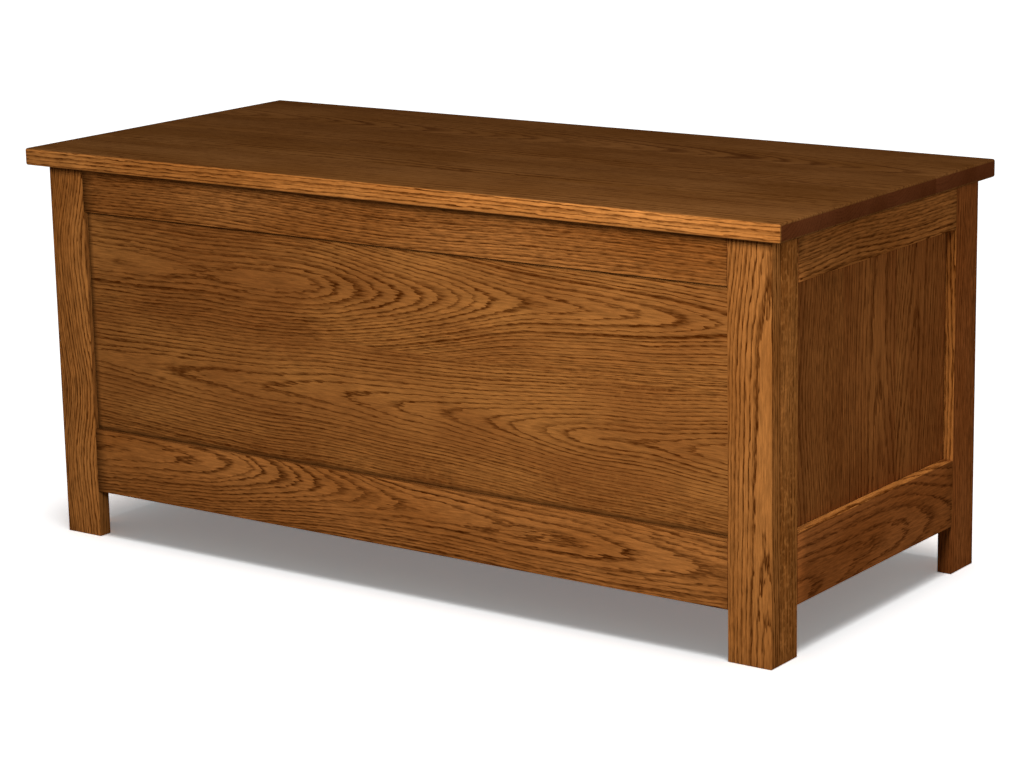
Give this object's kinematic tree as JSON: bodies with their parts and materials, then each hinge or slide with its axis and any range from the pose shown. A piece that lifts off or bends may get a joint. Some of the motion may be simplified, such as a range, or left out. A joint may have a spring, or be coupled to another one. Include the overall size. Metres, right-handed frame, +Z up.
{
  "type": "blanket chest",
  "caption": "Low oak blanket chest: frame-and-panel case on four legs, overhanging slab lid on a continuous hinge, slotted stays inside.",
  "frame": {"origin": "on the floor, under the middle of the overall box, lid shut", "axes": "+X along the chest to the right seen from the front, +Y from the front to the hinge side, +Z up"},
  "size_m": [1.118, 0.5152, 0.5103],
  "materials": {
    "oak_frame": "brown stained, satin lacquer",
    "oak_panel": "brown stained, satin lacquer",
    "oak_lid": "brown stained, satin lacquer",
    "cedar_floor": "planed, unfinished",
    "poplar": "planed, unfinished",
    "brass": "rolled and lightly tarnished"
  },
  "bodies": {
    "case": {"front_stile_left": "oak_frame", "front_stile_right": "oak_frame", "front_top_rail": "oak_frame", "front_bottom_rail": "oak_frame", "left_front_stile": "oak_frame", "left_rear_stile": "oak_frame", "left_top_rail": "oak_frame", "left_bottom_rail": "oak_frame", "right_front_stile": "oak_frame", "right_rear_stile": "oak_frame", "right_top_rail": "oak_frame", "right_bottom_rail": "oak_frame", "back_stile_left": "oak_frame", "back_stile_right": "oak_frame", "back_top_rail": "oak_frame", "back_bottom_rail": "oak_frame", "front_panel": "oak_panel", "left_panel": "oak_panel", "right_panel": "oak_panel", "back_panel": "oak_panel", "corner_spline_left": "poplar", "corner_spline_right": "poplar", "floor_cleat_front": "poplar", "floor_cleat_back": "poplar", "floor_cleat_left": "poplar", "floor_cleat_right": "poplar", "floor_board_1": "cedar_floor", "floor_board_2": "cedar_floor", "floor_board_3": "cedar_floor", "floor_board_4": "cedar_floor", "floor_board_5": "cedar_floor", "floor_board_6": "cedar_floor", "floor_board_7": "cedar_floor", "floor_board_8": "cedar_floor", "hinge_case_leaf": "brass", "hinge_pin": "brass", "stay_plate_left": "brass", "stay_plate_right": "brass", "stay_stud_left": "brass", "stay_stud_right": "brass"},
    "lid": {"lid_slab": "oak_lid", "lid_batten_left": "oak_frame", "lid_batten_right": "oak_frame", "hinge_lid_leaf": "brass", "stay_bracket_left": "brass", "stay_bracket_right": "brass", "stay_rivet_left": "brass", "stay_rivet_right": "brass"},
    "stay_arm_left": {"stay_arm_left": "brass"},
    "stay_arm_right": {"stay_arm_right": "brass"}
  },
  "joints": [
    {"name": "lid_hinge", "type": "hinge", "parent": "case", "child": "lid", "pos_m": [0, 0.25465, 0.48815], "axis": [-1, 0, 0], "range_deg": [0, 100]},
    {"name": "stay_left_pivot", "type": "hinge", "parent": "lid", "child": "stay_arm_left", "pos_m": [-0.513, 0.07505, 0.47615], "axis": [-1, 0, 0], "range_deg": [-50, 0]},
    {"name": "stay_right_pivot", "type": "hinge", "parent": "lid", "child": "stay_arm_right", "pos_m": [0.513, 0.07505, 0.47615], "axis": [-1, 0, 0], "range_deg": [-50, 0]}
  ],
  "couplings": [
    {"joint": "stay_left_pivot", "follows": "lid_hinge", "ratio": -0.5},
    {"joint": "stay_right_pivot", "follows": "lid_hinge", "ratio": -0.5}
  ]
}
